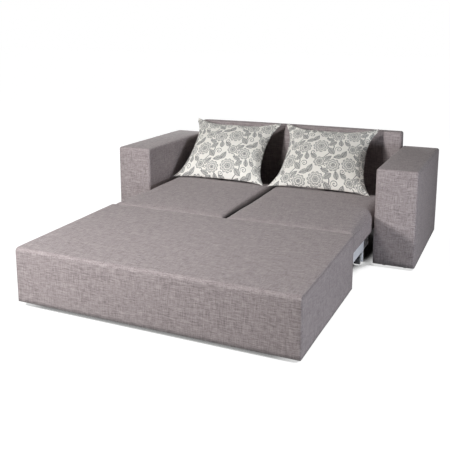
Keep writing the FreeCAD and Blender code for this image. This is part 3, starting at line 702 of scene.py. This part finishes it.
def toned(tree, outline, inside):
    """Full ink on a motif's outlines, and a paler screen inside them."""
    tone = add(tree, "Math", {0: outline, 1: 1 - SCREEN, 2: SCREEN}, operation="MULTIPLY_ADD")
    return add(tree, "Math", {0: tone, 1: inside}, operation="MULTIPLY")


def printed_flower(tree, local, radius, rings, ink):
    """A full flower: rings of round-ended petals, each outlined and parted by bare cotton."""
    reach, bearing = polar(tree, local)
    flower = 0
    for number, (share, petals) in enumerate(rings):
        phase = add(tree, "Math", {0: bearing, 1: petals / 2, 2: number}, operation="MULTIPLY_ADD")
        turned = add(tree, "Math", {0: phase}, operation="COSINE")
        wave = add(tree, "Math", {0: turned}, operation="ABSOLUTE")
        lobe = add(tree, "Math", {0: wave, 1: 0.5}, operation="POWER")
        edge = add(tree, "Math", {0: lobe, 1: 0.3 * share * radius, 2: 0.7 * share * radius},
                   operation="MULTIPLY_ADD")
        inside = add(tree, "Math", {0: reach, 1: edge}, operation="LESS_THAN")
        margin = add(tree, "Math", {0: edge, 1: OUTLINE * 1.5}, operation="ADD")
        outside = add(tree, "Math", {0: reach, 1: margin}, operation="GREATER_THAN")
        brink = add(tree, "Math", {0: edge, 1: OUTLINE}, operation="SUBTRACT")
        rim = add(tree, "Math", {0: reach, 1: brink}, operation="GREATER_THAN")
        valley = add(tree, "Math", {0: wave, 1: reach}, operation="MULTIPLY")
        parted = add(tree, "Math", {0: valley, 1: OUTLINE}, operation="LESS_THAN")
        line = add(tree, "Math", {0: rim, 1: parted}, operation="MAXIMUM")
        flower = over(tree, flower, toned(tree, line, inside), outside)
    clear = add(tree, "Math", {0: reach, 1: radius * 1.04}, operation="GREATER_THAN")
    return over(tree, ink, flower, clear)


def printed_leaf(tree, local, length, half_width, ink):
    """A pointed leaf with its midrib, slanting veins and outline in full ink."""
    parts = add(tree, "SeparateXYZ", {0: local})
    along = add(tree, "Math", {0: parts.outputs[0], 1: 2 / length}, operation="MULTIPLY")
    square = add(tree, "Math", {0: along, 1: along}, operation="MULTIPLY")
    full = add(tree, "Math", {0: square, 1: -half_width, 2: half_width}, operation="MULTIPLY_ADD")
    taper = add(tree, "Math", {0: along, 1: 0.35, 2: 1}, operation="MULTIPLY_ADD")
    kept = add(tree, "Math", {0: full, 1: 0}, operation="MAXIMUM")
    half = add(tree, "Math", {0: kept, 1: taper}, operation="MULTIPLY")
    across = add(tree, "Math", {0: parts.outputs[1]}, operation="ABSOLUTE")
    inside = add(tree, "Math", {0: across, 1: half}, operation="LESS_THAN")
    brink = add(tree, "Math", {0: half, 1: OUTLINE * 0.8}, operation="SUBTRACT")
    rim = add(tree, "Math", {0: across, 1: brink}, operation="GREATER_THAN")
    rib = add(tree, "Math", {0: across, 1: OUTLINE * 0.5}, operation="LESS_THAN")
    slant = add(tree, "Math", {0: across, 1: -0.9, 2: parts.outputs[0]}, operation="MULTIPLY_ADD")
    spacing = add(tree, "Math", {0: slant, 1: 0.005, 2: -0.005}, operation="WRAP")
    apart = add(tree, "Math", {0: spacing}, operation="ABSOLUTE")
    vein = add(tree, "Math", {0: apart, 1: OUTLINE * 0.4}, operation="LESS_THAN")
    drawn = add(tree, "Math", {0: rim, 1: rib}, operation="MAXIMUM")
    line = add(tree, "Math", {0: drawn, 1: vein}, operation="MAXIMUM")
    clear = add(tree, "Math", {0: across, 1: half}, operation="GREATER_THAN")
    return over(tree, ink, toned(tree, line, inside), clear)


def printed_curl(tree, local, radius, ink):
    """A thin stem that curls in on itself."""
    reach, bearing = polar(tree, local)
    pitch = radius / 1.6
    turns = add(tree, "Math", {0: bearing, 1: -1 / math.tau, 2: 0}, operation="MULTIPLY_ADD")
    spiral = add(tree, "Math", {0: reach, 1: 1 / pitch, 2: turns}, operation="MULTIPLY_ADD")
    off = add(tree, "Math", {0: spiral, 1: 0.5, 2: -0.5}, operation="WRAP")
    distance = add(tree, "Math", {0: off}, operation="ABSOLUTE")
    line = add(tree, "Math", {0: distance, 1: OUTLINE * 0.6 / pitch}, operation="LESS_THAN")
    inside = add(tree, "Math", {0: reach, 1: radius}, operation="LESS_THAN")
    curl = add(tree, "Math", {0: line, 1: inside}, operation="MULTIPLY")
    return add(tree, "Math", {0: ink, 1: curl}, operation="MAXIMUM")


def printed_stem(tree, cloth):
    """The long stem that winds up each column of the repeat."""
    x, y = repeat_place(tree, cloth, (STEM_COLUMN, 0))
    phase = add(tree, "Math", {0: y, 1: math.tau / REPEAT[1]}, operation="MULTIPLY")
    swing = add(tree, "Math", {0: phase}, operation="SINE")
    off = add(tree, "Math", {0: swing, 1: -STEM_SWING, 2: x}, operation="MULTIPLY_ADD")
    distance = add(tree, "Math", {0: off}, operation="ABSOLUTE")
    return add(tree, "Math", {0: distance, 1: OUTLINE * 0.9}, operation="LESS_THAN")


def printed_cotton(name):
    """Cream half-panama cotton; the ink lies in the yarn, so it is as matt as the cloth."""
    material, tree, shader = new_material(name)
    flat = add(tree, "UVMap", {}, uv_map="cut_panel")
    cloth = add(tree, "SeparateXYZ", {0: flat})
    ink = printed_stem(tree, cloth)
    for x, y, length, half_width, turn in LEAVES:
        ink = printed_leaf(tree, motif_place(tree, cloth, (x, y), turn), length, half_width, ink)
    for x, y, radius, turn in CURLS:
        ink = printed_curl(tree, motif_place(tree, cloth, (x, y), turn), radius, ink)
    for x, y, radius, turn, rings in FLOWERS:
        ink = printed_flower(tree, motif_place(tree, cloth, (x, y), turn), radius, rings, ink)
    wear = add(tree, "TexNoise", {"Vector": flat, "Scale": 240, "Detail": 2})
    cover = add(tree, "MapRange", {"Value": wear, "To Min": 0.7, "To Max": 1})
    laid = add(tree, "Math", {0: ink, 1: cover}, operation="MULTIPLY")
    colour = add(tree, "MixRGB", {0: laid, 1: linear(COTTON), 2: linear(INK)})
    yarn = add(tree, "Mapping", {"Vector": flat, "Scale": (900, 900, 1)})
    checks = add(tree, "TexChecker", {"Vector": yarn, "Scale": 1}).outputs["Fac"]
    slub = add(tree, "Math", {0: wear, 1: 0.6, 2: checks}, operation="MULTIPLY_ADD")
    bump = add(tree, "Bump", {"Height": slub, "Strength": 0.25, "Distance": 0.0006})
    wire(shader, {"Base Color": colour, "Roughness": 0.9, "Normal": bump,
                  "Sheen Weight": 0.1, "Specular IOR Level": 0.25})
    return material


PRINT = printed_cotton("printed_cotton")


def pillow_bag(side, seed):
    """Two panels sewn at a knife edge and filled: each carries its own cut-panel map.  The
    filling draws the edges in between the corners and has settled a little."""
    mesh = bmesh.new()
    bmesh.ops.create_grid(mesh, x_segments=78, y_segments=66, size=0.5)
    bmesh.ops.scale(mesh, vec=(PILLOW_WIDTH, PILLOW_HEIGHT, 1), verts=mesh.verts[:])
    panel = mesh.loops.layers.uv.new("cut_panel")
    for face in mesh.faces:
        for loop in face.loops:
            flat = loop.vert.co
            place = Vector((flat.x + PRINT_SHIFT[0] * seed, flat.y + PRINT_SHIFT[1] * seed))
            loop[panel].uv = place / PRINT_SCALE
    front = mesh.verts[:] + mesh.edges[:] + mesh.faces[:]
    copied = bmesh.ops.duplicate(mesh, geom=front)["geom"]
    behind = [f for f in copied if isinstance(f, bmesh.types.BMFace)]
    bmesh.ops.reverse_faces(mesh, faces=behind)
    back_verts = set(v for v in copied if isinstance(v, bmesh.types.BMVert))
    for vertex in mesh.verts:
        u = 2 * vertex.co.x / PILLOW_WIDTH
        v = 2 * vertex.co.y / PILLOW_HEIGHT
        sunk = min(1, abs(v + WAIST))
        end_draw = TOP_DRAW if v > 0 else FOOT_DRAW
        x = vertex.co.x - math.copysign(SIDE_DRAW * (1 - sunk ** DRAW_SHAPE) * abs(u) ** 3, u)
        y = vertex.co.y - math.copysign(end_draw * (1 - abs(u) ** DRAW_SHAPE) * abs(v) ** 3, v)
        fullness = max(0, (1 - u * u) * (1 - v * v))
        lift = PILLOW_THICKNESS / 2 * fullness ** ROUNDNESS * (1 - SETTLING * v)
        ear = EAR * (abs(u) * abs(v)) ** 6
        height = (v + 1) / 2
        x = (x + math.copysign(ear, u)) * (1 - TOP_NARROWING[side] * height) - LEAN[side] * height
        y += ear * EAR_LIFT if v > 0 else -ear
        corner = math.hypot(1 - abs(u), (1 - abs(v)) * PROPORTION)
        turn = math.atan2(1 - abs(v), 1 - abs(u))
        quarter = seed * 5 + (u > 0) * 2 + (v > 0)
        radiating = math.sin(turn * FOLDS + quarter * FOLD_SHIFT) * min(1, corner / FOLD_START)
        fold = radiating * math.exp(-(corner / FOLD_REACH) ** 2)
        hem = min(1 - abs(u), 1 - abs(v))
        along = vertex.co.x if abs(v) > abs(u) else vertex.co.y
        gather = noise.noise(Vector((along * PUCKER_RATE, seed * 9 + quarter, 0)))
        pucker = gather * math.exp(-hem / PUCKER_REACH)
        ease = noise.noise(Vector((vertex.co.x * EASE_RATE, vertex.co.y * EASE_RATE, seed * 5)))
        lift += (FOLD * fold + PUCKERING * pucker + EASE * ease) * min(1, hem / HEM)
        vertex.co = (x, y, -lift if vertex in back_verts else lift)
    bmesh.ops.remove_doubles(mesh, verts=mesh.verts[:], dist=1e-5)
    return mesh


def settled(place, seat_top):
    """A point of a pillow that lies on the seat: what would sink in spreads out flat."""
    if place.z < seat_top:
        place.z = seat_top + (place.z - seat_top) * SINKING
    return place


def pillow(side, seed):
    """A filled pillow, brought to its size and leaned on the seat."""
    piece = finish_piece(pillow_bag(side, seed), side + "_pillow_upholstery", PRINT,
                         side + "_pillow")
    blown_up(piece, frames=10, pressure=3, cap=0.007)
    spans = []
    for axis in (1, 2):
        reach = [vertex.co[axis] for vertex in piece.data.vertices]
        spans.append(max(reach) - min(reach))
    fitted = Matrix.Diagonal((1, PILLOW_HEIGHT / spans[0], PILLOW_THICKNESS / spans[1], 1))
    tilt = math.radians(PILLOW_TILT)
    reach = PILLOW_HEIGHT / 2
    middle = Vector((PILLOW_X[side], PILLOW_FOOT[0] + reach * math.cos(tilt),
                     PILLOW_FOOT[1] + reach * math.sin(tilt)))
    piece.data.transform(Matrix.Translation(middle) @ Matrix.Rotation(tilt, 4, "X") @ fitted)
    for vertex in piece.data.vertices:
        vertex.co = settled(vertex.co.copy(), PILLOW_FOOT[1] + PILLOW_CLEARANCE)
        off = vertex.co.x - middle.x
        vertex.co.x = middle.x + min(max(off, -PILLOW_REACH), PILLOW_REACH)
    smooth = piece.modifiers.new("smooth", "SUBSURF")
    smooth.levels = smooth.render_levels = 1
    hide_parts(side + "_pillow_cover", side + "_pillow_filling")


pillow("left", 0)
pillow("right", 1)


# Carriage: a frame of pressed and welded steel in white powder coat, with sprung beech
# slats across it, black end caps in its open tubes and zinc plated wheel brackets.

def powder_coat(name, code):
    """Polyester powder on steel: satin, with a baked skin's fine orange peel, 2 mm across."""
    material, tree, shader = new_material(name)
    place = add(tree, "TexCoord", {}).outputs["Object"]
    peel = add(tree, "TexNoise", {"Vector": place, "Scale": 1 / 0.002, "Detail": 1})
    dust = add(tree, "TexNoise", {"Vector": place, "Scale": 18, "Detail": 4})
    shade = add(tree, "MapRange", {"Value": dust, "To Min": 0.9, "To Max": 1.06})
    colour = add(tree, "VectorMath", {0: linear(code)[:3], 1: shade}, operation="MULTIPLY")
    rough = add(tree, "MapRange", {"Value": dust, "To Min": 0.3, "To Max": 0.42})
    bump = add(tree, "Bump", {"Height": peel, "Strength": 0.15, "Distance": 0.0002})
    wire(shader, {"Base Color": colour, "Roughness": rough, "Normal": bump, "IOR": 1.5})
    return material


WHITE_COAT = powder_coat("white_powder_coat", "f2f3f8")
BEECH = sawn_wood("lacquered_beech", BEECH_LIGHT, BEECH_DARK, 0.006, 0.09, 0.4)
dress(WHITE_COAT, "carriage_left_rail", "carriage_right_rail", "carriage_cross_tubes",
      "carriage_longerons", "carriage_side_legs", "carriage_rear_legs", "carriage_stop_lugs")
dress(BEECH, "carriage_slats")
dress(GLIDE_PLASTIC, "tube_end_caps")
dress(ZINC, "carriage_wheel_brackets")


# Wheels: ten moulded grey nylon wheels that turn on plain steel axles, each with a hub,
# a web with six ribs and a rim with a soft edge.

WHEEL_GREY = "4a4b4f"
BORE = 0.00305
HUB = 0.0068
RIM_WALL = 0.0040
TYRE_EDGE = 0.0025
WEB_HALF = 0.0020
FILLET = 0.0006
RIM_SLOPE = 0.0012
MOULDED_EDGE = 0.0004
RIBS = 6
RIB_WIDTH = 0.0016
RIB_SHORTER = 0.004

WHEEL_PLASTIC = moulded_plastic("grey_nylon", WHEEL_GREY, 0.0008, 0.48)


def moulded_wheel(node):
    """A wheel spun from its section, with ribs between the hub and the rim."""
    low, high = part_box(node)
    centre, half = (low + high) / 2, (high.x - low.x) / 2
    radius = (high.z - low.z) / 2
    inner = radius - RIM_WALL
    section = [(half, BORE), (half, HUB), (WEB_HALF, HUB + FILLET), (WEB_HALF, inner - RIM_SLOPE),
               (half - RIM_SLOPE, inner), (half - MOULDED_EDGE, inner + FILLET),
               (half, radius - TYRE_EDGE),
               (half - TYRE_EDGE * 0.3, radius - TYRE_EDGE * 0.3), (half - TYRE_EDGE, radius)]
    outline = section + [(-x, out) for x, out in reversed(section)]
    mesh = bmesh.new()
    points = [mesh.verts.new((x, 0, out)) for x, out in outline]
    edges = [mesh.edges.new((points[at - 1], points[at])) for at in range(len(points))]
    bmesh.ops.spin(mesh, geom=points + edges, cent=(0, 0, 0), axis=(1, 0, 0), angle=math.tau,
                   steps=48, use_merge=True, use_duplicate=False)
    bmesh.ops.remove_doubles(mesh, verts=mesh.verts[:], dist=1e-6)
    rib_reach = inner - HUB + RIM_SLOPE
    for rib in range(RIBS):
        size = Vector((2 * half - RIB_SHORTER, RIB_WIDTH, rib_reach))
        made = bmesh.ops.create_cube(mesh, size=1)["verts"]
        bmesh.ops.scale(mesh, vec=size, verts=made)
        bmesh.ops.translate(mesh, vec=(0, 0, HUB + rib_reach / 2 - FILLET), verts=made)
        bmesh.ops.rotate(mesh, cent=(0, 0, 0), verts=made,
                         matrix=Matrix.Rotation(rib * math.tau / RIBS, 3, "X"))
    bmesh.ops.translate(mesh, vec=centre, verts=mesh.verts[:])
    bmesh.ops.recalc_face_normals(mesh, faces=mesh.faces[:])
    piece = finish_piece(mesh, node + "_moulding", WHEEL_PLASTIC, node)
    crisp = piece.modifiers.new("edges", "BEVEL")
    crisp.width = MOULDED_EDGE
    crisp.segments = 1
    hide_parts(node)


wheels = [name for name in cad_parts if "_wheel_" in name and not name.endswith("brackets")]
for name in wheels:
    moulded_wheel(name)


# Floor and light: a white studio sweep, a strong lamp in front and to the left, weaker
# ones above and low to the right, one behind for the rear faces, and hardly any other light.

ROOM_LIGHT = 0.02
FLOOR_GREY = "616161"
# Painted shade and glow on the floor: how open it must be to glow white, and the painted glow close
# under low edges.
ROOM_REACH = 0.9
ROOM_OPEN = (0.18, 0.28)
EDGE_REACH = 0.12
EDGE_OPEN = (0.75, 0.4)
EDGE_GLOW = 0.7
UNLIT_GREY = (0.12, 0.12, 0.12, 1)


def looked_at(tree):
    """One where the camera sees a surface, directly or in or through another, or else zero."""
    seen = add(tree, "LightPath", {}).outputs
    mirrored = add(tree, "Math", {0: seen["Is Glossy Ray"], 1: seen["Is Transmission Ray"]},
                   operation="MAXIMUM")
    return add(tree, "Math", {0: seen["Is Camera Ray"], 1: mirrored}, operation="MAXIMUM")


def studio_floor():
    """A wide white floor.  Seen by the camera it glows white wherever it is open; under the
    seat, which hides it from the room, painted shade darkens the glow, and close under
    low edges a painted glow whitens away their contact shadow."""
    mesh = bmesh.new()
    bmesh.ops.create_grid(mesh, x_segments=1, y_segments=1, size=30)
    data = bpy.data.meshes.new("floor")
    mesh.to_mesh(data)
    mesh.free()
    floor = bpy.data.objects.new("floor", data)
    scene.collection.objects.link(floor)
    material, tree, shader = new_material("matt_white_floor")
    wire(shader, {"Base Color": linear(FLOOR_GREY), "Roughness": 1, "Specular IOR Level": 0})
    # Painted shade: the floor's glow follows how open it is to the room, from ambient occlusion.
    open_share = add(tree, "AmbientOcclusion", {"Distance": ROOM_REACH}, samples=64).outputs["AO"]
    painted_open_light = add(tree, "MapRange", {"Value": open_share, "From Min": ROOM_OPEN[0],
                                 "From Max": ROOM_OPEN[1]})
    # Painted glow: close under low edges the floor is whitened, so their contact shadow hardly shows.
    near_share = add(tree, "AmbientOcclusion", {"Distance": EDGE_REACH}).outputs["AO"]
    painted_edge_glow = add(tree, "MapRange", {"Value": near_share, "From Min": EDGE_OPEN[0],
                                        "From Max": EDGE_OPEN[1], "To Max": EDGE_GLOW})
    glow = add(tree, "Math", {0: painted_open_light, 1: painted_edge_glow}, operation="MAXIMUM")
    painted_floor_glow = add(tree, "Emission", {"Color": (1, 1, 1, 1), "Strength": glow})
    dim = add(tree, "BsdfDiffuse", {"Color": UNLIT_GREY})
    shown = add(tree, "AddShader", {0: painted_floor_glow, 1: dim})
    both = add(tree, "MixShader", {0: looked_at(tree), 1: shader.outputs[0], 2: shown})
    wire(tree.nodes["Material Output"], {"Surface": both})
    data.materials.append(material)


def lamp(name, place, target, size, power, tint):
    """A square soft lamp that faces a point."""
    data = bpy.data.lights.new(name, "AREA")
    data.size = size
    data.energy = power
    data.color = tint
    light = bpy.data.objects.new(name, data)
    light.location = place
    light.rotation_euler = (Vector(target) - Vector(place)).to_track_quat("-Z", "Y").to_euler()
    scene.collection.objects.link(light)


studio_floor()
lamp("front_lamp", (-1.6, -3.6, 1.6), (0, 0, 0.3), 0.5, 115, (1, 1, 1))
lamp("top_lamp", (-0.8, -1.5, 3.2), (0, 0, 0.3), 0.6, 50, (1, 1, 1))
lamp("low_lamp", (3.4, -1.0, 0.45), (0.7, -0.6, 0.2), 0.6, 48, (0.88, 0.93, 1))
lamp("rear_lamp", (-2.0, 3.8, 0.7), (0, 1, 0.35), 1.0, 130, (1, 1, 1))

world = bpy.data.worlds.new("studio")
scene.world = world
world.use_nodes = True
sky = world.node_tree
backdrop = sky.nodes["Background"]
strength = add(sky, "MapRange", {"Value": looked_at(sky), "To Min": ROOM_LIGHT, "To Max": 1})
wire(backdrop, {"Color": (1, 1, 1, 1), "Strength": strength})
scene.view_settings.view_transform = "Standard"
